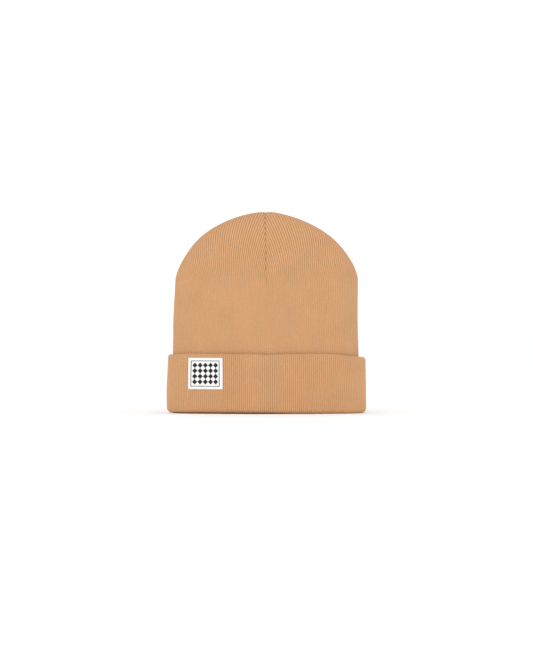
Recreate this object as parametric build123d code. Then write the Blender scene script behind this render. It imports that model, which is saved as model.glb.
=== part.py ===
from build123d import *

import os
from math import asin, atan2, cos, degrees

# Cuffed rib-knit beanie: a double-layer cap that stands in a turned-up cuff.
#
# Sizes are in millimetres. +Z goes up through the crown, and -Y is the front, with the label at its -X end.
# The origin is the middle of the outline, on the surface that the folded lower edge stands on.
# Distances called outward and inset are measured from the outside of the cap's shell.

# ---------------------------------------------------------------- driving sizes
TOTAL_HEIGHT = 212.0  # brim to crown, cuff turned up
CUFF_HEIGHT = 60.0
CROWN_START = 141.0  # where the side darts begin
FRONT_DART_START = 131.0  # the front and back darts reach a little lower

BODY_HALF_WIDTH = 98.0  # outside of the cap, inside the cuff
BODY_HALF_DEPTH = 40.0
BODY_FLATNESS = 12.0  # how far the shallow front arc stands out past the round side arcs
CROWN_HALF_WIDTH = 96.0
CROWN_HALF_DEPTH = 36.0
CROWN_FLATNESS = 10.8

SHELL_PLY = 1.8
LINING_PLY = 1.6
PLY_GAP = 2.0  # between shell and lining, where the seam allowances lie
CUFF_PLY = 1.8
CUFF_LOFT = 2.2  # air between the two plies of the cuff
SLIDE_GAP = 0.5  # between the cap and whatever it slides past
TOP_GAP = 0.2  # between the sleeve's top edge and the cuff's rolled edge

# ---------------------------------------------------------------- sizes worked out from them
LINING_INSET = SHELL_PLY + PLY_GAP
INSIDE_INSET = LINING_INSET + LINING_PLY
SLEEVE_IN = SLIDE_GAP  # distances outward from the cap's outside
SLEEVE_OUT = SLEEVE_IN + CUFF_PLY
CUFF_IN = SLEEVE_OUT + CUFF_LOFT
CUFF_OUT = CUFF_IN + CUFF_PLY
LIP_OUT = -(INSIDE_INSET + SLIDE_GAP)
LIP_IN = LIP_OUT - CUFF_PLY

BRIM_FLOOR = 2.2  # thickness of the folded edge that the hat stands on
BRIM_WALL = 6.0
BRIM_LIP = 7.0
BRIM_ROUND = 2.0
CUFF_EDGE_ROUND = 0.8 * CUFF_PLY
CAP_BOTTOM = 3.0
SLEEVE_TOP = CUFF_HEIGHT - CUFF_PLY - TOP_GAP
SLEEVE_OVERLAP = 2.0  # what the cap keeps inside the sleeve when the cuff is turned down
TURN_DOWN_TRAVEL = SLEEVE_TOP - CAP_BOTTOM - SLEEVE_OVERLAP

SEAM_WIDTH = 5.0
SEAM_PLY = 0.75
SEAM_CLEARANCE = 0.1
SEAM_START_RADIUS = 4.0  # the seams stop this far from the middle of the crown
TACK_RADIUS = 1.0

LABEL_WIDTH = 35.0
LABEL_HEIGHT = 32.4
LABEL_CENTRE_X = -62.8
LABEL_CENTRE_Z = 40.6
LABEL_PLY = 0.8
MOTIF_PLY = 0.15
BORDER_INSET = 2.8
BORDER_LINE = 0.7
MOTIF_ROWS = 4
MOTIF_COLUMNS = 5
MOTIF_PITCH_X = 5.3
MOTIF_PITCH_Z = 5.7
LOZENGE_WIDTH = 5.2
LOZENGE_HEIGHT = 5.6
STITCH_LENGTH = 2.2
STITCH_PITCH = 3.2
STITCH_RADIUS = 0.22
STITCH_MARGIN = 1.3  # from the label's edge to its line of stitches
STITCH_LIFT = 0.02  # clear of the label's face

CARE_WIDTH = 25.0
CARE_TOP = 118.0
CARE_HEIGHT = 42.0
CARE_PLY = 0.4
CARE_GAP = 0.05  # between the lining and the care label
CARE_STITCH_DROP = 2.0  # from the care label's top edge
CARE_STITCH_MARGIN = 1.0

# The crown closes along cubics. Each control point has a share of its half-width, half-depth or height.
CROWN_WIDTH_CONTROLS = (1.0, 0.916, 0.429, 0.0)
CROWN_DEPTH_CONTROLS = (1.0, 1.0, 0.72, 0.0)
CROWN_HEIGHT_CONTROLS = (0.0, 0.62, 1.0, 1.0)
CROWN_SECTIONS = 9
CROWN_TIP = 0.98  # the last section, which leaves a small flat where the four seams meet


# ---------------------------------------------------------------- outlines
def front_radius(half_width, half_depth, flatness):
    """Radius of the shallow front arc that meets both side arcs without a corner."""
    side = half_depth - flatness
    return ((half_width - side) ** 2 + half_depth**2 - side**2) / (2 * flatness)


def oval(z, half_width, half_depth, flatness):
    """A flat oval face of four tangent arcs, so that each inset of it has the same four centres."""
    side = half_depth - flatness
    front = front_radius(half_width, half_depth, flatness)
    tilt = degrees(atan2(half_width - side, front - half_depth))
    arcs = [
        CenterArc((half_width - side, 0, z), side, tilt - 90, 180 - 2 * tilt),
        CenterArc((0, half_depth - front, z), front, 90 - tilt, 2 * tilt),
        CenterArc((side - half_width, 0, z), side, 90 + tilt, 180 - 2 * tilt),
        CenterArc((0, front - half_depth, z), front, 270 - tilt, 2 * tilt),
    ]
    return Face(Wire(arcs))


def body_oval(z, outward=0.0):
    """The straight lower body's outline, moved outward (or inward, if negative)."""
    return oval(z, BODY_HALF_WIDTH + outward, BODY_HALF_DEPTH + outward, BODY_FLATNESS)


def cubic(controls, t):
    """The value at t, from 0 to 1, of a cubic with four control values."""
    p0, p1, p2, p3 = controls
    s = 1 - t
    return s**3 * p0 + 3 * s * s * t * p1 + 3 * s * t * t * p2 + t**3 * p3


def crown_oval(t, inset):
    """Section t of the crown, from 0 at the start of the darts to 1 at the tip."""
    z = CROWN_START + cubic(CROWN_HEIGHT_CONTROLS, t) * (TOTAL_HEIGHT - inset - CROWN_START)
    half_width = cubic(CROWN_WIDTH_CONTROLS, t) * (CROWN_HALF_WIDTH - inset)
    deep = cubic(CROWN_DEPTH_CONTROLS, t)
    return oval(z, half_width, deep * (CROWN_HALF_DEPTH - inset), deep * CROWN_FLATNESS)


# ---------------------------------------------------------------- solids
def prism(bottom, top, outward):
    """A straight oval plug from bottom to top."""
    return extrude(body_oval(bottom, outward), top - bottom, dir=(0, 0, 1))


def ring(bottom, top, inner, outer):
    """A straight oval sleeve between two offsets of the cap's outside."""
    return prism(bottom, top, outer) - prism(bottom, top, inner)


def cap_plug(bottom, inset):
    """The cap filled solid, every surface moved inward by inset."""
    shoulder = oval(CROWN_START, CROWN_HALF_WIDTH - inset, CROWN_HALF_DEPTH - inset, CROWN_FLATNESS)
    body = loft([body_oval(CUFF_HEIGHT, -inset), shoulder], ruled=True)
    steps = [CROWN_TIP * i / (CROWN_SECTIONS - 1) for i in range(CROWN_SECTIONS)]
    crown = loft([shoulder] + [crown_oval(t, inset) for t in steps[1:]])
    return prism(bottom, CUFF_HEIGHT, -inset) + body + crown


def cap_layer(bottom, outer_inset, inner_inset):
    """What lies between two insets of the cap, open at the bottom."""
    return cap_plug(bottom, outer_inset) - cap_plug(bottom - 1, inner_inset)


def slab(x, y, z):
    """A block from three (low, high) pairs."""
    size = [high - low for low, high in (x, y, z)]
    middle = [(high + low) / 2 for low, high in (x, y, z)]
    return Pos(*middle) * Box(*size)


def seam_strips(outer_inset):
    """The overlocked allowance under each of the four crown seams, by the seam's name."""
    layer = cap_layer(CUFF_HEIGHT - 1, outer_inset, outer_inset + SEAM_PLY)
    half = SEAM_WIDTH / 2
    near, far = SEAM_START_RADIUS, BODY_HALF_WIDTH
    front_z, side_z = (FRONT_DART_START, TOTAL_HEIGHT), (CROWN_START, TOTAL_HEIGHT)
    paths = {
        "front": slab((-half, half), (-far, -near), front_z),
        "back": slab((-half, half), (near, far), front_z),
        "left": slab((-far, -near), (-half, half), side_z),
        "right": slab((near, far), (-half, half), side_z),
    }
    return {name: layer & path for name, path in paths.items()}


def brim_fold():
    """The folded lower edge: a round-edged channel that holds both plies of the cap."""
    block = ring(0, BRIM_LIP, LIP_IN, CUFF_OUT)
    channel = ring(BRIM_FLOOR, BRIM_LIP + 1, LIP_OUT, CUFF_IN)
    step = ring(BRIM_WALL, BRIM_LIP + 1, CUFF_IN - 1, CUFF_OUT + 1)
    fold = block - channel - step
    return fillet(fold.faces().sort_by(Axis.Z)[0].outer_wire().edges(), BRIM_ROUND)


def cuff_outer_ply():
    """The face of the cuff with the rolled edge that closes its top."""
    wall = ring(BRIM_WALL, CUFF_HEIGHT - CUFF_PLY, CUFF_IN, CUFF_OUT)
    edge = ring(CUFF_HEIGHT - CUFF_PLY, CUFF_HEIGHT, SLEEVE_IN, CUFF_OUT)
    top = edge.faces().sort_by(Axis.Z)[-1]
    rolled = fillet(top.outer_wire().edges(), CUFF_EDGE_ROUND)
    return wall + rolled


def on_front(x, z, outward):
    """A place on the front of the cuff, turned so that -Y points straight out of the fabric."""
    half_depth = BODY_HALF_DEPTH + outward
    radius = front_radius(BODY_HALF_WIDTH + outward, half_depth, BODY_FLATNESS)
    turn = asin(x / radius)
    return Pos(x, radius - half_depth - radius * cos(turn), z) * Rot(0, 0, degrees(turn))


def front_layer(x, z, outward, thickness):
    """A thin patch that follows the front of the cuff, over the given (low, high) of x and z."""
    skin = ring(z[0], z[1], outward, outward + thickness)
    return skin & slab(x, (-BODY_HALF_WIDTH, 0), z)


def label_extent(inset):
    """The (low, high) of x and of z of the label, drawn in by inset."""
    half_x, half_z = LABEL_WIDTH / 2 - inset, LABEL_HEIGHT / 2 - inset
    return (
        (LABEL_CENTRE_X - half_x, LABEL_CENTRE_X + half_x),
        (LABEL_CENTRE_Z - half_z, LABEL_CENTRE_Z + half_z),
    )


def label_border():
    """The thin line woven round the motif."""
    face = CUFF_OUT + LABEL_PLY
    outer = front_layer(*label_extent(BORDER_INSET), face, MOTIF_PLY)
    x, z = label_extent(BORDER_INSET + BORDER_LINE)
    return outer - slab(x, (-BODY_HALF_WIDTH, 0), z)


def label_motif():
    """Rows of small lozenges, a plain pattern with no lettering."""
    half_x, half_z = LOZENGE_WIDTH / 2, LOZENGE_HEIGHT / 2
    outline = Plane.XZ * Polygon((-half_x, 0), (0, -half_z), (half_x, 0), (0, half_z))
    cutter = extrude(outline, BODY_HALF_DEPTH, both=True)
    skin = front_layer(*label_extent(0), CUFF_OUT + LABEL_PLY, MOTIF_PLY)
    lozenges = []
    for row in range(MOTIF_ROWS):
        for column in range(MOTIF_COLUMNS):
            x = LABEL_CENTRE_X + (column - (MOTIF_COLUMNS - 1) / 2) * MOTIF_PITCH_X
            z = LABEL_CENTRE_Z + (row - (MOTIF_ROWS - 1) / 2) * MOTIF_PITCH_Z
            lozenges += (skin & Pos(x, -BODY_HALF_DEPTH, z) * cutter).solids()
    return Compound(children=lozenges)


def stitch(place, along_z):
    """One straight stitch lying on the fabric."""
    bar = Cylinder(STITCH_RADIUS, STITCH_LENGTH)
    return place * (bar if along_z else Rot(0, 90, 0) * bar)


def stitch_row(low, high):
    """Centres of evenly spaced stitches between two ends."""
    count = int((high - low) // STITCH_PITCH)
    first = (low + high) / 2 - (count - 1) * STITCH_PITCH / 2
    return [first + i * STITCH_PITCH for i in range(count)]


def label_stitches():
    """The line of thread that holds the label, near its four edges."""
    x, z = label_extent(STITCH_MARGIN)
    lift = CUFF_OUT + LABEL_PLY + STITCH_LIFT + STITCH_RADIUS
    found = []
    for edge in z:
        found += [stitch(on_front(at, edge, lift), False) for at in stitch_row(*x)]
    for edge in x:
        found += [stitch(on_front(edge, at, lift), True) for at in stitch_row(*z)]
    return Compound(children=found)


def care_label():
    """A blank satin care label that hangs inside the back of the lining."""
    inset = INSIDE_INSET + CARE_GAP
    layer = cap_layer(CUFF_HEIGHT - 1, inset, inset + CARE_PLY)
    half = CARE_WIDTH / 2
    return layer & slab((-half, half), (0, BODY_HALF_WIDTH), (CARE_TOP - CARE_HEIGHT, CARE_TOP))


def care_label_stitches():
    """A short row of thread along the care label's top edge."""
    z = CARE_TOP - CARE_STITCH_DROP
    share = (z - CUFF_HEIGHT) / (CROWN_START - CUFF_HEIGHT)
    lining_face = BODY_HALF_DEPTH + share * (CROWN_HALF_DEPTH - BODY_HALF_DEPTH) - INSIDE_INSET
    depth = lining_face - CARE_GAP - CARE_PLY - CARE_GAP * 3 - STITCH_RADIUS
    radius = front_radius(BODY_HALF_WIDTH, BODY_HALF_DEPTH, BODY_FLATNESS)
    half = CARE_WIDTH / 2 - CARE_STITCH_MARGIN
    places = [Pos(x, depth - x * x / (2 * radius), z) for x in stitch_row(-half, half)]
    return Compound(children=[stitch(place, False) for place in places])


def crown_tack():
    """The knot of thread that ties the lining's crown to the shell's."""
    middle = TOTAL_HEIGHT - (LINING_INSET + SHELL_PLY) / 2
    drop = (1 - cubic(CROWN_HEIGHT_CONTROLS, CROWN_TIP)) * (TOTAL_HEIGHT - CROWN_START)
    return Pos(0, 0, middle - drop) * Cylinder(TACK_RADIUS, PLY_GAP - 0.02)


# ---------------------------------------------------------------- the assembly
def assembly():
    """Every sub-part by its node's name."""
    parts = {
        "cuff_outer_ply": cuff_outer_ply(),
        "cuff_inner_ply": ring(BRIM_FLOOR, SLEEVE_TOP, SLEEVE_IN, SLEEVE_OUT),
        "brim_fold": brim_fold(),
        "woven_label": front_layer(*label_extent(0), CUFF_OUT, LABEL_PLY),
        "label_border": label_border(),
        "label_motif": label_motif(),
        "label_stitches": label_stitches(),
        "outer_shell": cap_layer(CAP_BOTTOM, 0, SHELL_PLY),
        "lining": cap_layer(CAP_BOTTOM, LINING_INSET, INSIDE_INSET),
        "care_label": care_label(),
        "care_label_stitches": care_label_stitches(),
        "crown_tack": crown_tack(),
    }
    for side, strip in seam_strips(SHELL_PLY + SEAM_CLEARANCE).items():
        parts[f"shell_seam_{side}"] = strip
    for side, strip in seam_strips(LINING_INSET - SEAM_CLEARANCE - SEAM_PLY).items():
        parts[f"lining_seam_{side}"] = strip
    return parts


def main():
    os.makedirs("parts", exist_ok=True)
    for name, shape in assembly().items():
        export_step(shape, f"parts/{name}.step")
        print(name, len(shape.solids()), round(shape.volume))
    print("turn-down travel", TURN_DOWN_TRAVEL)


main()
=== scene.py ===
from math import pi, radians

import bpy
import numpy as np
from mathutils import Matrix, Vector


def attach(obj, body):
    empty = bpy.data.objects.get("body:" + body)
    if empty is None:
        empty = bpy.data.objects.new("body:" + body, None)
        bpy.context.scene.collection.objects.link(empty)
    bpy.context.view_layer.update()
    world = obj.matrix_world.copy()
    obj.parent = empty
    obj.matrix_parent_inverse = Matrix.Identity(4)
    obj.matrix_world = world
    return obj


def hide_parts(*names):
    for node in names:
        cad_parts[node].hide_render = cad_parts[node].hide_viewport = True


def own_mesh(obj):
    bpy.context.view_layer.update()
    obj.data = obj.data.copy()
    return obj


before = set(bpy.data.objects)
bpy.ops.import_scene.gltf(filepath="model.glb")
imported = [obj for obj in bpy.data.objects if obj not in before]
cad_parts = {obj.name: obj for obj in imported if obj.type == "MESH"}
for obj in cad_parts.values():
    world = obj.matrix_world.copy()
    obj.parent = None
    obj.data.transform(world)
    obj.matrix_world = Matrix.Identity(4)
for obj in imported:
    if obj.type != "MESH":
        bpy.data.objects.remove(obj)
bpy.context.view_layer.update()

# A cuffed rib-knit beanie. Sizes are in millimetres until a mesh is made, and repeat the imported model's.
# The front is -Y. A place round the hat is q: 0 at the front, 1 at +X, 2 at the back and 3 at -X.
# A place up the crown is t: 0 where it starts and 1 at the tip.
# Inset is measured inward from the cap's outside, and outward is measured outward from it.

# ---------------------------------------------------------------- the hat's shape
TOTAL_HEIGHT = 212.0
CUFF_HEIGHT = 60.0
CROWN_START = 141.0
BODY_HALF = (98.0, 40.0, 12.0)  # half-width, half-depth and flatness of the outline up to the cuff's top
CROWN_HALF = (96.0, 36.0, 10.8)  # the same at the start of the crown
CROWN_WIDTH_CONTROLS = (1.0, 0.916, 0.429, 0.0)
CROWN_DEPTH_CONTROLS = (1.0, 1.0, 0.72, 0.0)
CROWN_HEIGHT_CONTROLS = (0.0, 0.62, 1.0, 1.0)

SHELL_PLY = 1.8
LINING_INSET = 3.8
INSIDE_INSET = 5.4
CAP_BOTTOM = 2.7
CUFF_IN = 4.5  # these seven are distances outward
CUFF_OUT = 6.3
LIP_OUT = -5.9
LIP_IN = -7.3
SLEEVE_IN = 0.55
SLEEVE_OUT = 1.9
ROLL_IN = 0.5
SLEEVE_TOP = 57.6
BRIM_FLOOR = 2.2
BRIM_WALL = 6.0
BRIM_LIP = 7.0
FACE_Z = (6.0, 24.0, 46.0, 60.0)  # the face of the cuff swells low down and draws in at its top
FACE_OUT = (6.3, 6.4, 5.6, 5.2)
HOLD = 0.08  # how near a sharp edge its smooth shading is held

# ---------------------------------------------------------------- how the soft cloth sags and waves
FOLD_DEPTHS = (1.5, 1.0)  # two shallow folds that cross the body
RIPPLE_DEPTH = 0.7  # the slow wave of the outline, the same at every height
SWAY = 0.7  # from side to side, above the cuff
CUFF_SLACK = 0.4
RIM_RISE = 2.3  # the wave of the cuff's top edge
RIM_DIP = 0.9
RIM_FALL = (1.2, 4.2)  # at its left end and at its right end
HEM_RISE = 0.6  # the wave of the lower edge
HEM_WAVE = 0.5
PEAK_DROP = 0.9  # how far the crown falls away beside its tip
SEAM_DRIFT = 1.6  # how far the middle of the crown wanders to the left
CROWN_SHIFT = 0.6
RIGHT_LEAN = (1.7, 0.9)  # how much further in the right side stands, just above the cuff and higher up

# ---------------------------------------------------------------- the knit
RIBS = 232
GORE_RIBS = RIBS // 4
CENTRE_RIBS = 10  # of a gore's ribs, those that end at the front or back seam and not at the side one
SAMPLES = 5  # mesh columns across one rib
RIB_RELIEF = 0.68
RIB_ROUNDNESS = 0.75
STRETCH_FLATTENS = 0.45  # how much of a rib's relief goes where the cloth is pulled open
CUFF_STRETCH = 0.25
CROWN_SPREAD = 0.5  # how much wider the ribs are at the tip than where the crown starts
COURSE_PITCH = 1.35
SEAM_GROOVE = 0.6  # a crown seam's narrow groove in the face of one layer
SEAM_GROOVE_WIDTH = 1.1
# how far from a crown seam its painted shadow reaches
SEAM_PAINTED_SHADOW_WIDTH = 0.7
SEAM_PULL = 1.6  # how far a seam draws both layers in
SEAM_PULL_WIDTH = 11.0
FRONT_DART_START = 131.0
BODY_ROWS = 29  # mesh rows of a ribbed face, and of a plain one that hardly shows
CROWN_ROWS = 32
PLAIN_BODY_ROWS = 6
PLAIN_CROWN_ROWS = 8

# ---------------------------------------------------------------- threads
OVERLOCK_HALF = 2.3  # half the width of a seam's allowance
OVERLOCK_THICK = 0.33
OVERLOCK_CORD = 0.06
OVERLOCK_OFFSET = 0.45  # from the face of the layer to the middle of the allowance
TACK_RADIUS = 1.1
TACK_THREAD = 0.3
LABEL_THREAD = 0.2

# ---------------------------------------------------------------- the labels
LABEL_X = (-80.3, -45.3)
LABEL_Z = (25.4, 57.8)
LABEL_PLY = 0.7
BORDER_INSET = 2.8
BORDER_LINE = 0.7
MOTIF_ROWS = 4
MOTIF_COLUMNS = 5
MOTIF_PITCH = (5.3, 5.7)
LOZENGE = (5.2, 5.6)
STITCH_LENGTH = 2.2
STITCH_PITCH = 3.2
STITCH_MARGIN = 1.3
MOTIF_LIFT = 0.1  # above the label's face
BORDER_LIFT = 0.09
MOTIF_SINK = -0.05
CARE_HALF_WIDTH = 12.5
CARE_Z = (76.0, 118.0)
CARE_PLY = 0.35
CARE_STITCH_DROP = 2.0

# ---------------------------------------------------------------- colours and light
CAMEL = (0.635, 0.347, 0.171)
LINING_DIMMER = 0.96
SEAM_THREAD = (0.50, 0.27, 0.13)
WHITE_THREAD = (0.86, 0.85, 0.82)
WHITE_SATIN = (0.85, 0.84, 0.80)
WHITE_TAPE = (0.88, 0.88, 0.87)
BLACK_TAPE = (0.012, 0.012, 0.014)
FLOOR_GREY = (0.99, 0.99, 0.99)
STRETCH_PAINTED_SHADE = 0.073  # how much darker each of these makes the knit; this one is painted shade where the cloth is pulled open and its stitch gaps open
# painted shade that darkens the valleys between the ribs, where shade falls
VALLEY_PAINTED_SHADE = 0.42
STRETCHED_VALLEY = -0.6  # what full stretch takes from the painted shade in the valleys
# painted shadow in the groove along each crown seam
SEAM_PAINTED_SHADOW = 0.55
# painted shade in the gaps between the stitches
STITCH_PAINTED_SHADE = 0.14
YARN_SHADE = 0.30
BLOTCH_SHADE = 0.16
HORIZON_LIGHT = 1.3
OVERHEAD_LIGHT = 0.88
FLOOR_REACH = 30  # metres
CAMERA_PLACE = (0, -3.0, 0.0835)
CAMERA_LENS = 155

KNIT_VALUES = ("wale", "course", "seam", "stretch")
WELD = 1e-4
TIP_SHARE = 1e-7  # the size of the crown's outline at its tip, so small that its points weld into one


# ---------------------------------------------------------------- outlines
def smooth(value):
    """0 up to 0, 1 from 1 on, and an even S between them."""
    value = np.clip(value, 0, 1)
    return value * value * (3 - 2 * value)


def quarter_arcs(half_width, half_depth, flatness):
    """Radii and lengths of the two arcs that make a quarter of the hat's oval outline."""
    side = half_depth - flatness
    front = ((half_width - side) ** 2 + half_depth**2 - side**2) / (2 * flatness)
    tilt = np.arctan2(half_width - side, front - half_depth)
    return side, front, tilt, front * tilt, side * (pi / 2 - tilt)


def outline(q, half_width, half_depth, flatness):
    """The point at place q of the oval, with q spread evenly along each quarter."""
    side, front, tilt, front_length, side_length = quarter_arcs(half_width, half_depth, flatness)
    quarter = np.floor(q).astype(int) % 4
    share = q - np.floor(q)
    along = np.where(quarter % 2 == 1, 1 - share, share) * (front_length + side_length)
    on_front = np.minimum(along, front_length) / front
    on_side = tilt + np.maximum(along - front_length, 0) / side
    is_front = along < front_length
    x = np.where(is_front, front * np.sin(on_front), half_width - side + side * np.sin(on_side))
    y = np.where(is_front, half_depth - front + front * np.cos(on_front), side * np.cos(on_side))
    return np.where(quarter < 2, x, -x), np.where((quarter == 0) | (quarter == 3), -y, y)


def cubic(controls, t):
    """The Bezier cubic of four control values."""
    p0, p1, p2, p3 = controls
    s = 1 - t
    return s**3 * p0 + 3 * s * s * t * p1 + 3 * s * t * t * p2 + t**3 * p3


def crown_size(t, inset=0.0):
    """Half-width, half-depth and flatness of the crown's outline at t."""
    wide = np.maximum(cubic(CROWN_WIDTH_CONTROLS, t), TIP_SHARE)
    deep = np.maximum(cubic(CROWN_DEPTH_CONTROLS, t), TIP_SHARE)
    return (CROWN_HALF[0] - inset) * wide, (CROWN_HALF[1] - inset) * deep, CROWN_HALF[2] * deep


def quarter_around(*size):
    """The length of a quarter of an outline."""
    return sum(quarter_arcs(*size)[3:])


def rim_wave(x):
    """How far the cuff's top edge stands above its even height: it dips in the middle and falls at its ends."""
    dip = RIM_DIP * np.exp(-((x / 10) ** 2))
    left, right = RIM_FALL
    return RIM_RISE - dip - left * smooth((-x - 78) / 26) - right * smooth((x - 60) / 48)


def soften(x, y, z, rim_share):
    """Moves points the way soft cloth sags and waves, by the same amount in every layer.

    Nothing that is inside the cuff moves sideways with height, so that the cap can slide out of it. rim_share
    is how much of the wave of the cuff's top edge a point takes part in.
    """
    facing = np.tanh(y / 14)
    above = smooth((z - CUFF_HEIGHT) / 45)
    crown = smooth((z - CROWN_START + 10) / 60)
    wide, narrow = FOLD_DEPTHS
    folds = wide * np.sin(x / 21 + z / 60 + 1.9 * facing) + narrow * np.sin(x / 12 - z / 34 + 4.0 * facing)
    ripple = RIPPLE_DEPTH * np.sin(x / 15 + 1.0 + facing)
    y = y + np.abs(facing) * (ripple + above * folds * (1 - 0.5 * crown))
    hem = HEM_RISE + HEM_WAVE * np.cos(2 * pi * (x + 48) / 256)
    height = np.clip(z / CUFF_HEIGHT, 0, 1)
    peak = PEAK_DROP * smooth((z - 180) / 25) * (1 - np.exp(-(((x - 2.5) / 16) ** 2)))
    z = z + hem * (1 - height) + rim_share * rim_wave(x) * height - crown * smooth(x / 60) - peak
    drift = SEAM_DRIFT * smooth((z - FRONT_DART_START) / 15) * np.exp(-((x / 25) ** 2))
    x = x + above * SWAY * np.sin(z / 19) + CROWN_SHIFT * crown - drift
    return np.stack([x, y, z], axis=-1)


def seam_distance(q, t):
    """How far a place is from the nearest crown seam, along the outline."""
    return np.abs(q - np.round(q)) * quarter_around(*crown_size(t))


def dart_strength(q, z, t):
    """1 where a crown seam is sewn, fading to 0 below it; the front and back seams reach lowest."""
    return np.where(np.round(q) % 2 == 0, smooth((z - FRONT_DART_START) / 8), smooth(t / 0.04))


def right_lean(x, z):
    """How much further in the cap's right side stands than its left: most just above the cuff."""
    low, high = RIGHT_LEAN
    return smooth(x / 80) * smooth((z - 25) / 37) * (low - (low - high) * smooth((z - CUFF_HEIGHT) / 45))


def cap_place(q, t, z, inset, groove):
    """A point of the cap: on the straight body at z, or on the crown where t is above 0."""
    away = seam_distance(q, t)
    pull = SEAM_PULL * np.exp(-((away / SEAM_PULL_WIDTH) ** 2)) * smooth(t / 0.25)
    deep = inset + pull + dart_strength(q, z, t) * groove * np.exp(-away / SEAM_GROOVE_WIDTH)
    grow = np.clip((z - CUFF_HEIGHT) / (CROWN_START - CUFF_HEIGHT), 0, 1)
    body = [low + (high - low) * grow for low, high in zip(BODY_HALF, CROWN_HALF)]
    crown = crown_size(t, deep)
    on_crown = t > 0
    x, y = outline(
        q,
        np.where(on_crown, crown[0], body[0] - deep),
        np.where(on_crown, crown[1], body[1] - deep),
        np.where(on_crown, crown[2], body[2]),
    )
    rise = cubic(CROWN_HEIGHT_CONTROLS, t)
    z = np.where(on_crown, CROWN_START + rise * (TOTAL_HEIGHT - deep - CROWN_START), z)
    return soften(x - right_lean(x, z), y, z, 0.0)


def cuff_place(q, outward, z, rim_share=1.0):
    """A point of the cuff, at a distance outward from the cap's outside."""
    slack = -CUFF_SLACK * np.sin(4.5 * pi * q + z / 22) * smooth(z / 30) * smooth((outward - 3.5) / 2)
    outward = outward + slack
    x, y = outline(q, BODY_HALF[0] + outward, BODY_HALF[1] + outward, BODY_HALF[2] + 0 * q)
    return soften(x, y, z + 0 * x, rim_share)


def stretched(z):
    """How far the cap's cloth is pulled open: fully on the body, not at all on the crown."""
    return 1 - smooth((z - 125) / 40)


def rib(wale):
    """The height of the knit, 0 in the valley between two ribs and 1 on a rib; wale counts ribs."""
    return np.abs(np.sin(pi * wale)) ** RIB_ROUNDNESS


# ---------------------------------------------------------------- meshes
def grid_faces(rows, columns, start, flip):
    """The four-cornered faces of a grid of points that are numbered from start on."""
    at = start + np.arange(rows * columns).reshape(rows, columns)
    faces = np.stack([at[:-1, :-1], at[:-1, 1:], at[1:, 1:], at[1:, :-1]], axis=-1).reshape(-1, 4)
    return faces[:, ::-1] if flip else faces


def patch(points, wale=0.5, course=0.0, seam=0.0, stretch=0.0, flip=False):
    """A grid of points with what the knit's material reads: rib, knitted row, nearness to a seam for its
    painted shadow, and stretch.
    """
    values = [np.broadcast_to(value, points.shape[:2]) for value in (wale, course, seam, stretch)]
    return points, values, flip


def courses(points):
    """How many knitted rows lie below each point, along its column."""
    steps = np.linalg.norm(np.diff(points, axis=0), axis=-1)
    return np.concatenate([np.zeros((1, points.shape[1])), np.cumsum(steps, axis=0)]) / COURSE_PITCH


def weld(patches):
    """Joins grids into one mesh: its points, its faces' corners, which of them stay and their knit values.

    Points that meet become one, so a face with a side shrunk to a point loses a corner or goes altogether.
    """
    faces, start = [], 0
    for grid, _, flip in patches:
        faces.append(grid_faces(*grid.shape[:2], start, flip))
        start += grid.shape[0] * grid.shape[1]
    faces = np.concatenate(faces)
    points = np.concatenate([grid.reshape(-1, 3) for grid, _, _ in patches])
    values = [np.concatenate([part.reshape(-1) for part in parts]) for parts in zip(*(p[1] for p in patches))]
    _, first, merged = np.unique(np.round(points / WELD), axis=0, return_index=True, return_inverse=True)
    corners = merged.reshape(-1)[faces]
    kept = corners != np.roll(corners, -1, axis=1)
    whole = (kept.sum(axis=1) > 2) & (corners[:, 0] != corners[:, 2]) & (corners[:, 1] != corners[:, 3])
    kept &= whole[:, None]
    return points[first], corners, kept, [value[faces] for value in values]


def make_mesh(name, patches):
    """A smooth mesh in metres, with the knit values on its corners."""
    points, corners, kept, knit = weld(patches)
    counts = kept.sum(axis=1)
    counts = counts[counts > 0]
    mesh = bpy.data.meshes.new(name)
    mesh.vertices.add(len(points))
    mesh.vertices.foreach_set("co", (points / 1000).ravel())
    mesh.loops.add(int(counts.sum()))
    mesh.loops.foreach_set("vertex_index", corners[kept].astype(np.int32))
    mesh.polygons.add(len(counts))
    mesh.polygons.foreach_set("loop_start", (np.cumsum(counts) - counts).astype(np.int32))
    mesh.update(calc_edges=True)
    for title, values in zip(KNIT_VALUES, knit):
        layer = mesh.attributes.new(title, "FLOAT", "CORNER")
        layer.data.foreach_set("value", values[kept].astype(np.float32))
    mesh.shade_smooth()
    return mesh


def make_piece(name, patches, body, material, node):
    """One object from grids of points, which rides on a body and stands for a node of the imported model."""
    mesh = make_mesh(name, patches)
    mesh.materials.append(material)
    piece = bpy.data.objects.new(name, mesh)
    bpy.context.scene.collection.objects.link(piece)
    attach(piece, body)
    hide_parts(node)
    return piece


def tube_patch(inset, relief, groove, levels, flip):
    """The straight body of one face of a layer."""
    wale = np.arange(RIBS * SAMPLES + 1)[None, :] / SAMPLES
    q = wale / GORE_RIBS
    z = np.asarray(levels, float)[:, None]
    stretch = stretched(z)
    depth = relief * (1 - STRETCH_FLATTENS * stretch) * (1 - rib(wale))
    points = cap_place(q, 0 * z, z, inset + depth, groove)
    # near is the mask of the painted shadow along a crown seam
    near = dart_strength(q, z, 0 * z) * np.exp(-seam_distance(q, 0 * z) / SEAM_PAINTED_SHADOW_WIDTH)
    return patch(points, wale, z / COURSE_PITCH, near, stretch, flip)


def ribs_left(t):
    """Ribs still running at t, on either side of the one that reaches the tip: centre seam's, then side's."""
    height = cubic(CROWN_HEIGHT_CONTROLS, t)
    centre = CENTRE_RIBS * (1 - height**1.3)
    width = (1 + CROWN_SPREAD * height) * quarter_around(*crown_size(0.0)) / GORE_RIBS
    side = quarter_around(*crown_size(t)) / width - centre
    return centre, np.clip(side, 0, GORE_RIBS - CENTRE_RIBS)


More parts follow.
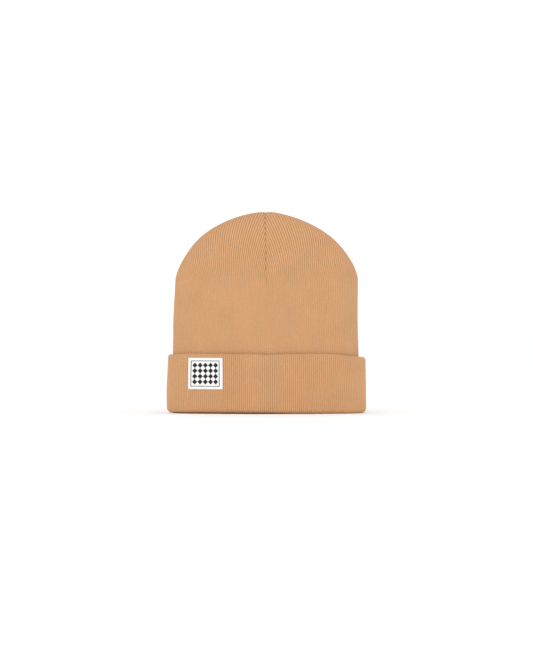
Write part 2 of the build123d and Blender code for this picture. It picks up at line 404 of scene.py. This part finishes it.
def gore_patch(gore, inset, relief, groove, rows, flip):
    """One quarter of the crown: ribs run up it side by side, and its two seams cut them off one by one."""
    wale = np.arange(GORE_RIBS * SAMPLES + 1)[None, :] / SAMPLES
    from_tip_rib = (wale if gore % 2 == 0 else GORE_RIBS - wale) - CENTRE_RIBS
    along = np.linspace(1, 0, 400)
    centre, side = (np.maximum.accumulate(part) for part in ribs_left(along))
    at_centre = np.interp(-from_tip_rib, centre, along)
    at_side = np.interp(from_tip_rib, side, along)
    cut = np.where(from_tip_rib < 0, at_centre, at_side)
    t = cut * (1 - (1 - np.linspace(0, 1, rows)[:, None]) ** 1.3)
    centre, side = ribs_left(t)
    share = np.clip((centre + from_tip_rib) / np.maximum(centre + side, 1e-6), 0, 1)
    share = np.where(t >= cut, np.heaviside(from_tip_rib, 0.5), share)
    q = gore + (share if gore % 2 == 0 else 1 - share)
    stretch = stretched(CROWN_START + cubic(CROWN_HEIGHT_CONTROLS, t) * (TOTAL_HEIGHT - CROWN_START))
    depth = relief * (1 - STRETCH_FLATTENS * stretch) * (1 - rib(wale))
    points = cap_place(q, t, CROWN_START + 0 * t, inset + depth, groove)
    # near is the mask of the painted shadow along a crown seam
    near = dart_strength(q, CROWN_START + 0 * t, t) * np.exp(-seam_distance(q, t) / SEAM_PAINTED_SHADOW_WIDTH)
    rows_below = CROWN_START / COURSE_PITCH + courses(points)
    return patch(points, wale + gore * GORE_RIBS, rows_below, near, stretch, flip)


def layer_face(inset, relief, groove, levels, rows, flip):
    """One face of a layer of the cap: the body and the crown's four gores."""
    tube = tube_patch(inset, relief, groove, levels, flip)
    return [tube] + [gore_patch(gore, inset, relief, groove, rows, flip) for gore in range(4)]


def bottom_rim(outer, inner):
    """The strip that joins the two faces of a layer along its lower edge."""
    outer_points, (wale, course, *_), _ = outer
    inner_points = inner[0]
    return patch(np.stack([inner_points[0], outer_points[0]]), wale[:1], course[:1])


def turned_path(corners, radius_steps=6):
    """Points along straight runs and quarter turns: each corner is (outward, z, radius)."""
    path = []
    count = len(corners)
    for i, (outward, z, radius) in enumerate(corners):
        here = np.array([outward, z], float)
        if radius == 0:
            path.append(here)
            continue
        before = np.array(corners[i - 1][:2], float) - here
        after = np.array(corners[(i + 1) % count][:2], float) - here
        start = here + before / np.linalg.norm(before) * radius
        end = here + after / np.linalg.norm(after) * radius
        for share in np.linspace(0, 1, radius_steps + 1):
            path.append((1 - share) ** 2 * start + 2 * share * (1 - share) * here + share**2 * end)
    return np.array(path)


def divided(path, longest):
    """The path again, with points added on its long runs."""
    found = [path[0]]
    for start, end in zip(path[:-1], path[1:]):
        pieces = max(1, int(np.ceil(np.linalg.norm(end - start) / longest)))
        found += [start + (end - start) * i / pieces for i in range(1, pieces + 1)]
    return np.array(found)


def band(corners, ribbed, longest=4.0, rim_share=1.0):
    """A closed cross-section swept round the cuff.

    ribbed(outward, z) is how much of the rib relief a point has. The ribs are pressed in along the section's
    normal, in which its upright runs count most.
    """
    path = turned_path(corners)
    path = divided(np.concatenate([path, path[:1]]), longest)
    ends = np.concatenate([path[-2:-1], path, path[1:2]])
    runs = np.diff(ends, axis=0)
    runs /= np.maximum(np.linalg.norm(runs, axis=1, keepdims=True), 1e-9)
    upright = 0.02 + np.abs(runs[:, 1:]) ** 3
    ahead = runs[:-1] * upright[:-1] + runs[1:] * upright[1:]
    ahead /= np.maximum(np.linalg.norm(ahead, axis=1, keepdims=True), 1e-9)
    normal = np.stack([ahead[:, 1], -ahead[:, 0]], axis=1)
    wale = (np.arange(RIBS * SAMPLES + 1) / SAMPLES)[None, :]
    depth = RIB_RELIEF * ribbed(path[:, 0], path[:, 1])[:, None] * (1 - rib(wale))
    outward = path[:, :1] - normal[:, :1] * depth
    z = path[:, 1:] - normal[:, 1:] * depth
    points = cuff_place(wale / GORE_RIBS + 0 * z, outward, z, rim_share)
    length = np.concatenate([[0], np.cumsum(np.linalg.norm(np.diff(path, axis=0), axis=1))])
    return [patch(points, wale, (length / COURSE_PITCH)[:, None], stretch=CUFF_STRETCH)]


# ---------------------------------------------------------------- materials
class Graph:
    """A material's nodes, with one short call for each kind that is used here."""

    def __init__(self, name, **shader_values):
        self.material = bpy.data.materials.new(name)
        self.material.use_nodes = True
        self.tree = self.material.node_tree
        self.shader = self.tree.nodes["Principled BSDF"]
        for socket, value in shader_values.items():
            self.shader.inputs[socket.replace("_", " ")].default_value = value

    def node(self, kind, inputs=(), **settings):
        made = self.tree.nodes.new(kind)
        for key, value in settings.items():
            setattr(made, key, value)
        for key, value in dict(inputs).items():
            if isinstance(value, bpy.types.NodeSocket):
                self.tree.links.new(value, made.inputs[key])
            else:
                made.inputs[key].default_value = value
        return made

    def calc(self, operation, first, second=0.0, third=0.0):
        inputs = {0: first, 1: second, 2: third}
        return self.node("ShaderNodeMath", inputs, operation=operation).outputs[0]

    def colour(self, colour):
        made = self.node("ShaderNodeRGB")
        made.outputs[0].default_value = (*colour, 1)
        return made.outputs[0]

    def attribute(self, name):
        return self.node("ShaderNodeAttribute", attribute_name=name).outputs["Fac"]

    def noise(self, scale, detail=2.0, stretch=(1, 1, 1)):
        place = self.node("ShaderNodeTexCoord").outputs["Object"]
        place = self.node("ShaderNodeMapping", {"Vector": place, "Scale": stretch}).outputs[0]
        inputs = {"Vector": place, "Scale": scale, "Detail": detail}
        return self.node("ShaderNodeTexNoise", inputs).outputs["Fac"]

    def mix(self, share, first, second, blend="MIX"):
        inputs = {0: share, 6: first, 7: second}
        return self.node("ShaderNodeMix", inputs, data_type="RGBA", blend_type=blend).outputs[2]

    def shade(self, colour, share, strength):
        """The colour multiplied by 1 - strength where share is 1."""
        grey = self.calc("SUBTRACT", 1.0, self.calc("MULTIPLY", share, strength))
        return self.mix(1.0, colour, grey, "MULTIPLY")

    def finish(self, colour, height, distance, strength):
        """Joins the colour and a bump of that height to the shader."""
        self.tree.links.new(colour, self.shader.inputs["Base Color"])
        bump = self.node("ShaderNodeBump", {"Height": height, "Distance": distance, "Strength": strength})
        self.tree.links.new(bump.outputs[0], self.shader.inputs["Normal"])
        return self.material


def knit_material(name, colour):
    """Rib knit: painted shade in its valleys and in the gaps of the V stitches on each rib, uneven yarn and a
    soft nap.
    """
    graph = Graph(name, Roughness=0.92, Specular_IOR_Level=0.18, Sheen_Weight=0.12, Sheen_Roughness=0.45)
    past_crest = graph.calc("ADD", graph.attribute("wale"), 0.5)
    from_crest = graph.calc("MULTIPLY", graph.calc("PINGPONG", past_crest, 0.5), 2.0)
    seam = graph.attribute("seam")
    lean = graph.calc("MULTIPLY_ADD", from_crest, 0.42, graph.attribute("course"))
    stitch = graph.calc("PINGPONG", lean, 0.5)
    yarn = graph.noise(900, 3, (1, 1, 0.5))
    blotch = graph.noise(38, 3)
    # painted shade: the valleys between the ribs are darkened in the colour
    valley = graph.calc("POWER", from_crest, 3.0)
    stretch = graph.attribute("stretch")
    depth = graph.calc("MULTIPLY_ADD", stretch, STRETCHED_VALLEY, 1.0)
    # painted shade: the pulled-open knit is darkened in the colour, for the shade in its opened stitch gaps
    shade = graph.shade(graph.colour(colour), stretch, STRETCH_PAINTED_SHADE)
    shade = graph.shade(shade, graph.calc("MULTIPLY", valley, depth), VALLEY_PAINTED_SHADE)
    # painted shadow: the knit is darkened in the colour along the crown seams' grooves
    painted_seam_shadow = graph.calc("MULTIPLY", seam, graph.calc("MULTIPLY_ADD", valley, 0.85, 0.15))
    shade = graph.shade(shade, painted_seam_shadow, SEAM_PAINTED_SHADOW)
    # painted shade: the gaps between the stitches are darkened in the colour
    shade = graph.shade(shade, graph.calc("SUBTRACT", 0.5, stitch), STITCH_PAINTED_SHADE)
    shade = graph.shade(shade, graph.calc("SUBTRACT", yarn, 0.5), YARN_SHADE)
    shade = graph.shade(shade, graph.calc("SUBTRACT", blotch, 0.5), BLOTCH_SHADE)
    height = graph.calc("MULTIPLY_ADD", yarn, 0.5, graph.calc("MULTIPLY", stitch, 1.1))
    return graph.finish(shade, height, 0.00028, 0.75)


def woven_material(name, colour, threads, shine):
    """Tightly woven tape: fine warp and weft, with a little unevenness."""
    graph = Graph(name, Roughness=0.75 - shine, Specular_IOR_Level=0.3, Sheen_Weight=0.15)
    place = graph.node("ShaderNodeTexCoord").outputs["Object"]
    parts = graph.node("ShaderNodeSeparateXYZ", {0: place}).outputs
    warp = graph.calc("PINGPONG", graph.calc("MULTIPLY", parts["X"], threads), 0.5)
    weft = graph.calc("PINGPONG", graph.calc("MULTIPLY", parts["Z"], threads * 1.3), 0.5)
    weave = graph.calc("ADD", warp, weft)
    shade = graph.shade(graph.colour(colour), graph.calc("SUBTRACT", 1.0, weave), 0.07)
    shade = graph.shade(shade, graph.calc("SUBTRACT", graph.noise(400), 0.5), 0.10)
    return graph.finish(shade, weave, 0.00012, 0.6)


def thread_material(name, colour):
    """Sewing thread: a fine twist and a slight shine."""
    graph = Graph(name, Roughness=0.6, Specular_IOR_Level=0.35, Sheen_Weight=0.1)
    twist = graph.noise(2600, 2, (1, 1, 0.4))
    shade = graph.shade(graph.colour(colour), graph.calc("SUBTRACT", twist, 0.5), 0.25)
    return graph.finish(shade, twist, 0.00008, 0.6)


# ---------------------------------------------------------------- the cap
def ribbed_face(inset, relief, groove, flip):
    """A face of a layer that shows."""
    levels = np.linspace(CAP_BOTTOM, CROWN_START, BODY_ROWS)
    return layer_face(inset, relief, groove, levels, CROWN_ROWS, flip)


def plain_face(inset, flip):
    """A face of a layer that lies against the other layer."""
    levels = np.linspace(CAP_BOTTOM, CROWN_START, PLAIN_BODY_ROWS)
    return layer_face(inset, 0.0, 0.0, levels, PLAIN_CROWN_ROWS, flip)


def shell_piece(knit):
    """The outer layer of the cap, ribbed on its outside."""
    outer = ribbed_face(0.0, RIB_RELIEF, SEAM_GROOVE, False)
    inner = plain_face(SHELL_PLY, True)
    patches = outer + inner + [bottom_rim(outer[0], inner[0])]
    piece = make_piece("outer_shell_knit", patches, "cap", knit, "outer_shell")


def lining_piece(knit):
    """The inner layer of the cap, ribbed on the side that faces the head."""
    outer = plain_face(LINING_INSET, False)
    inner = ribbed_face(INSIDE_INSET, -RIB_RELIEF, -SEAM_GROOVE, True)
    patches = outer + inner + [bottom_rim(outer[0], inner[0])]
    piece = make_piece("lining_knit", patches, "cap", knit, "lining")


def seam_strip(name, node, quarter, inset, material):
    """The overlocked allowance under one crown seam, corded across by its thread."""
    t = np.concatenate([np.linspace(0.01, 0.9, 150), np.linspace(0.9, 0.96, 8)[1:]])[:, None]
    around = np.linspace(0, 2 * pi, 13)[None, :]
    q = quarter + OVERLOCK_HALF * np.sin(around) / quarter_around(*crown_size(t))
    cord = OVERLOCK_CORD * np.sin(t * 420)
    depth = inset - (OVERLOCK_THICK + cord) * np.cos(around)
    points = cap_place(q % 4, t, CROWN_START + 0 * t, depth, 0.0)
    make_piece(name, [patch(points), *end_caps(points)], "cap", material, node)


def end_caps(points):
    """Patches that close both ends of a tube, each a fan to the middle of its end."""
    low, high = (np.broadcast_to(end.mean(axis=0), end.shape) for end in (points[0], points[-1]))
    return [patch(np.stack([low, points[0]])), patch(np.stack([points[-1], high]))]


def capsule(start, end, radius, rings=6, sides=8):
    """A small thread stitch from start to end, with rounded ends."""
    start, end = np.array(start, float), np.array(end, float)
    ahead = (end - start) / np.linalg.norm(end - start)
    across = np.cross(ahead, (0.3, 0.5, 0.81))
    across /= np.linalg.norm(across)
    other = np.cross(ahead, across)
    turn = np.linspace(0, 2 * pi, sides + 1)[None, :, None]
    share = (1 - np.cos(np.linspace(0, pi, rings * 2)))[:, None, None] / 2
    width = radius * np.sin(np.linspace(0, pi, rings * 2))[:, None, None] ** 0.4
    points = start + (end - start) * share + width * (np.cos(turn) * across + np.sin(turn) * other)
    return patch(points)


def crown_tack_piece(material):
    """The knot that ties the two crowns together: a small coil of thread between them."""
    turn = np.linspace(0, 6 * pi, 61)
    low = TOTAL_HEIGHT - 4.1
    path = [(TACK_RADIUS * np.cos(a), TACK_RADIUS * np.sin(a), low + 0.07 * a) for a in turn]
    path = [soften(*np.array(point), 0.0) for point in path]
    loops = [capsule(a, b, TACK_THREAD, 3, 6) for a, b in zip(path[:-1], path[1:])]
    make_piece("crown_tack_thread", loops, "cap", material, "crown_tack")


def care_label_place(x, z, depth):
    """A point on the inside of the back, where the care label hangs."""
    length = quarter_around(*BODY_HALF)
    return cap_place(2 - x / length, 0 * z, z, INSIDE_INSET + depth, 0.0)


def care_label_pieces(satin, thread):
    """The blank satin label and the stitches along its top edge."""
    x = np.linspace(-CARE_HALF_WIDTH, CARE_HALF_WIDTH, 21)[None, :]
    z = np.linspace(*CARE_Z, 31)[:, None]
    low = (CARE_Z[1] - z) / (CARE_Z[1] - CARE_Z[0])
    curl = 0.25 + 2.2 * low**2 + 0.5 * low * np.sin(x / 6)
    front = care_label_place(x, z, curl + CARE_PLY)
    back = care_label_place(x, z, curl)
    slab = slab_patches(front, back)
    sheet = make_piece("care_label_satin", slab, "cap", satin, "care_label")
    height = np.array(CARE_Z[1] - CARE_STITCH_DROP)
    half = STITCH_LENGTH / 2
    stitches = []
    for middle in stitch_row(-CARE_HALF_WIDTH + 1, CARE_HALF_WIDTH - 1):
        ends = [care_label_place(np.array(middle + side), height, 2 * CARE_PLY) for side in (-half, half)]
        stitches.append(capsule(*ends, LABEL_THREAD))
    make_piece("care_label_thread", stitches, "cap", thread, "care_label_stitches")


# ---------------------------------------------------------------- the cuff
def brim_piece(knit):
    """The lower turn of the cloth: a soft channel that the cap stands in, ribbed where it shows."""
    corners = [
        (LIP_IN + 0.5, BRIM_LIP, 0.5),
        (LIP_IN, 0.0, 5.0),
        (CUFF_OUT, 0.0, 5.5),
        (CUFF_OUT, BRIM_WALL - HOLD, 0),
        (CUFF_OUT, BRIM_WALL, 0),
        (CUFF_IN, BRIM_WALL, 0),
        (CUFF_IN, BRIM_FLOOR, 0.4),
        (LIP_OUT, BRIM_FLOOR, 0.4),
        (LIP_OUT, BRIM_LIP, 0.3),
    ]

    def ribbed(outward, z):
        hidden = (outward < CUFF_IN + 0.2) & (outward > LIP_OUT - 0.1) & (z > BRIM_FLOOR - 0.2)
        return np.where(hidden, 0.0, 1.0)

    piece = make_piece("brim_fold_knit", band(corners, ribbed, 1.6), "cuff", knit, "brim_fold")


def cuff_face_piece(knit):
    """The face of the cuff and the soft roll that closes its top."""
    corners = [
        (CUFF_IN, BRIM_WALL, 0),
        (CUFF_OUT, BRIM_WALL, 0),
        (CUFF_OUT, BRIM_WALL + HOLD, 0),
        (FACE_OUT[1], FACE_Z[1], 6.0),
        (FACE_OUT[2], FACE_Z[2], 6.0),
        (FACE_OUT[3], FACE_Z[3], 3.0),
        (ROLL_IN, CUFF_HEIGHT, 1.9),
        (ROLL_IN, 56.8, 0),
        (2.1, 56.6, 0),
        (2.1, 58.3, 1.1),
        (CUFF_IN - 0.5, 58.3, 1.1),
        (CUFF_IN - 0.4, 46.0, 0),
    ]

    def ribbed(outward, z):
        hidden = (outward < CUFF_IN + 0.1) & (z < 58.4)
        return np.where(hidden, 0.0, 1.0)

    piece = make_piece("cuff_face_knit", band(corners, ribbed), "cuff", knit, "cuff_outer_ply")
    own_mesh(piece)


def sleeve_piece(knit):
    """The inner ply of the cuff, which is the wall that shows when the cuff is turned down."""
    corners = [
        (SLEEVE_IN, 2.4, 0),
        (SLEEVE_OUT, 2.4, 0),
        (SLEEVE_OUT, 44.0, 5.0),
        (SLEEVE_IN + 0.65, SLEEVE_TOP, 0.3),
        (SLEEVE_IN, SLEEVE_TOP, 0.1),
    ]

    def ribbed(outward, z):
        return np.where(outward > SLEEVE_IN + 0.3, 0.85 - 0.4 * smooth((z - 44) / 12), 0.0)

    patches = band(corners, ribbed, rim_share=0.3)
    piece = make_piece("cuff_sleeve_knit", patches, "cuff", knit, "cuff_inner_ply")


# ---------------------------------------------------------------- the cuff's label
def slab_patches(front, back):
    """A thin closed slab from the grids of its two faces."""
    ends = [(back[0], front[0]), (front[-1], back[-1])]
    sides = [(front[:, 0], back[:, 0]), (back[:, -1], front[:, -1])]
    walls = [patch(np.stack(pair)) for pair in ends + sides]
    return [patch(front), patch(back, flip=True), *walls]


def label_place(x, z, lift):
    """A point on the face of the cuff, given by where it is seen from the front."""
    outward = np.interp(z, FACE_Z, FACE_OUT)
    size = (BODY_HALF[0] + outward, BODY_HALF[1] + outward, BODY_HALF[2])
    front = quarter_arcs(*size)[1]
    q = front * np.arcsin(np.clip(x / front, -1, 1)) / quarter_around(*size)
    points = cuff_place(q % 4, outward + lift, z)
    points[..., 2] = z
    return points


def label_lift(x, z):
    """The label's face: thicker at its turned-under edges, drawn down along its stitches."""
    from_edge = np.minimum(
        np.minimum(x - LABEL_X[0], LABEL_X[1] - x),
        np.minimum(z - LABEL_Z[0], LABEL_Z[1] - z),
    )
    tucked = 0.22 * np.exp(-(((from_edge - STITCH_MARGIN) / 0.5) ** 2))
    rounded = 0.35 * np.exp(-from_edge / 0.35)
    swell = 0.12 * np.sin(x / 4.5) * np.sin(z / 5.5 + 1)
    return LABEL_PLY - tucked - rounded + swell * smooth(from_edge / 5)


def edge_dense(low, high, count):
    """Numbers from low to high that lie closer together near both ends."""
    share = np.linspace(-1, 1, count)
    return (low + high) / 2 + (high - low) / 2 * np.sin(share * pi / 2)


def stitch_row(low, high):
    """The middles of as many stitches as fit between low and high."""
    count = int((high - low) // STITCH_PITCH)
    first = (low + high) / 2 - (count - 1) * STITCH_PITCH / 2
    return [first + i * STITCH_PITCH for i in range(count)]


def on_label(x, z, lift):
    """A point that far above the label's face."""
    return label_place(x, z, label_lift(x, z) + lift)


def label_sheet():
    """The label itself, with denser points where its edges turn under."""
    x = edge_dense(*LABEL_X, 49)[None, :]
    z = edge_dense(*LABEL_Z, 49)[:, None]
    front = on_label(x, z, 0.0)
    back = label_place(x + 0 * z, z + 0 * x, 0.02)
    return slab_patches(front, back)


def label_border_frame():
    """The plain line round the label's face, mitred at its corners."""
    corners = [(0, 0), (1, 0), (1, 1), (0, 1), (0, 0)]
    sides = zip(corners[:-1], corners[1:])
    share = np.concatenate([np.linspace(start, end, 36, endpoint=False) for start, end in sides])
    share = np.concatenate([share, share[:1]])
    inset = np.array([[BORDER_INSET], [BORDER_INSET + BORDER_LINE]])
    x = LABEL_X[0] + inset + share[:, 0] * (LABEL_X[1] - LABEL_X[0] - 2 * inset)
    z = LABEL_Z[0] + inset + share[:, 1] * (LABEL_Z[1] - LABEL_Z[0] - 2 * inset)
    front, back = on_label(x, z, BORDER_LIFT), on_label(x, z, MOTIF_SINK)
    walls = [patch(np.stack([back[0], front[0]])), patch(np.stack([front[-1], back[-1]]))]
    return [patch(front), patch(back, flip=True), *walls]


def label_lozenges():
    """Rows of small lozenges, a plain pattern with no lettering."""
    middle_x, middle_z = sum(LABEL_X) / 2, sum(LABEL_Z) / 2
    share = np.linspace(-0.5, 0.5, 7)
    a, b = np.meshgrid(share, share)
    found = []
    for row in range(MOTIF_ROWS):
        for column in range(MOTIF_COLUMNS):
            x = middle_x + (column - (MOTIF_COLUMNS - 1) / 2) * MOTIF_PITCH[0] + (a - b) * LOZENGE[0] / 2
            z = middle_z + (row - (MOTIF_ROWS - 1) / 2) * MOTIF_PITCH[1] + (a + b) * LOZENGE[1] / 2
            found += slab_patches(on_label(x, z, MOTIF_LIFT), on_label(x, z, MOTIF_SINK))
    return found


def label_stitch_capsules():
    """The line of thread that holds the label, near its four edges."""
    half = STITCH_LENGTH / 2
    inner_x = (LABEL_X[0] + STITCH_MARGIN, LABEL_X[1] - STITCH_MARGIN)
    inner_z = (LABEL_Z[0] + STITCH_MARGIN, LABEL_Z[1] - STITCH_MARGIN)
    lines = [((x - half, z), (x + half, z)) for z in inner_z for x in stitch_row(*inner_x)]
    lines += [((x, z - half), (x, z + half)) for x in inner_x for z in stitch_row(*inner_z)]
    ends = [[on_label(np.array(x), np.array(z), MOTIF_LIFT) for x, z in line] for line in lines]
    return [capsule(*pair, LABEL_THREAD) for pair in ends]


def label_pieces(cloth, ink, thread):
    """The woven label; all of it tucks into the hem as the cuff is turned down."""
    sheet = make_piece("woven_label_cloth", label_sheet(), "cuff", cloth, "woven_label")
    stitches = label_stitch_capsules()
    made = [
        sheet,
        make_piece("woven_label_border", label_border_frame(), "cuff", ink, "label_border"),
        make_piece("woven_label_lozenges", label_lozenges(), "cuff", ink, "label_motif"),
        make_piece("woven_label_thread", stitches, "cuff", thread, "label_stitches"),
    ]
    for piece in made:
        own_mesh(piece)


# ---------------------------------------------------------------- the studio
def area_light(name, place, size, power):
    """A square soft light that faces the middle of the hat."""
    light = bpy.data.lights.new(name, "AREA")
    light.size = size
    light.energy = power
    lamp = bpy.data.objects.new(name, light)
    lamp.location = place
    direction = Vector((0, 0, 0.1)) - Vector(place)
    lamp.rotation_euler = direction.to_track_quat("-Z", "Y").to_euler()
    bpy.context.scene.collection.objects.link(lamp)


def surround():
    """A pale world that is a little dimmer overhead than at the horizon."""
    world = bpy.data.worlds.new("studio")
    world.use_nodes = True
    nodes, links = world.node_tree.nodes, world.node_tree.links
    direction = nodes.new("ShaderNodeTexCoord")
    parts = nodes.new("ShaderNodeSeparateXYZ")
    ramp = nodes.new("ShaderNodeMapRange")
    ramp.inputs["To Min"].default_value = HORIZON_LIGHT
    ramp.inputs["To Max"].default_value = OVERHEAD_LIGHT
    links.new(direction.outputs["Generated"], parts.inputs[0])
    links.new(parts.outputs["Z"], ramp.inputs["Value"])
    nodes["Background"].inputs["Color"].default_value = (1, 1, 1, 1)
    links.new(ramp.outputs[0], nodes["Background"].inputs["Strength"])
    bpy.context.scene.world = world


def floor():
    """The plain pale floor, wide enough to reach the horizon."""
    reach = FLOOR_REACH
    mesh = bpy.data.meshes.new("studio_floor")
    corners = [(-reach, -reach, 0), (reach, -reach, 0), (reach, reach, 0), (-reach, reach, 0)]
    mesh.from_pydata(corners, [], [(0, 1, 2, 3)])
    made = bpy.data.objects.new("studio_floor", mesh)
    graph = Graph("pale_floor", Roughness=0.9)
    shade = graph.shade(graph.colour(FLOOR_GREY), graph.noise(3), 0.02)
    mesh.materials.append(graph.finish(shade, graph.noise(60), 0.0005, 0.1))
    bpy.context.scene.collection.objects.link(made)


def studio():
    """The surround, two large soft lights in front and the floor."""
    bpy.context.scene.view_settings.view_transform = "Standard"
    surround()
    area_light("key_light", (-1.3, -2.0, 0.7), 1.4, 8.0)
    area_light("fill_light", (1.3, -2.0, 0.7), 1.6, 7.0)
    floor()


def camera():
    """Level, straight at the front, from far enough away that the hat looks as it does laid flat."""
    lens = bpy.data.cameras.new("camera")
    lens.lens = CAMERA_LENS
    made = bpy.data.objects.new("camera", lens)
    made.location = CAMERA_PLACE
    made.rotation_euler = (radians(90), 0, 0)
    bpy.context.scene.collection.objects.link(made)
    bpy.context.scene.camera = made


def main():
    knit = knit_material("camel_rib_knit", CAMEL)
    lining_knit = knit_material("camel_lining_knit", [LINING_DIMMER * part for part in CAMEL])
    seam_thread = thread_material("camel_seam_thread", SEAM_THREAD)
    label_thread = thread_material("white_thread", WHITE_THREAD)
    shell_piece(knit)
    lining_piece(lining_knit)
    shell_depth, lining_depth = SHELL_PLY + OVERLOCK_OFFSET, LINING_INSET - OVERLOCK_OFFSET
    for quarter, side in enumerate(("front", "right", "back", "left")):
        seam_strip(f"shell_overlock_{side}", f"shell_seam_{side}", quarter, shell_depth, seam_thread)
        seam_strip(f"lining_overlock_{side}", f"lining_seam_{side}", quarter, lining_depth, seam_thread)
    crown_tack_piece(seam_thread)
    care_label_pieces(woven_material("care_satin", WHITE_SATIN, 5200, 0.3), label_thread)
    brim_piece(knit)
    cuff_face_piece(knit)
    sleeve_piece(knit)
    cloth = woven_material("label_cloth", WHITE_TAPE, 2600, 0.05)
    label_pieces(cloth, woven_material("label_ink", BLACK_TAPE, 2600, 0.05), label_thread)
    studio()
    camera()


main()
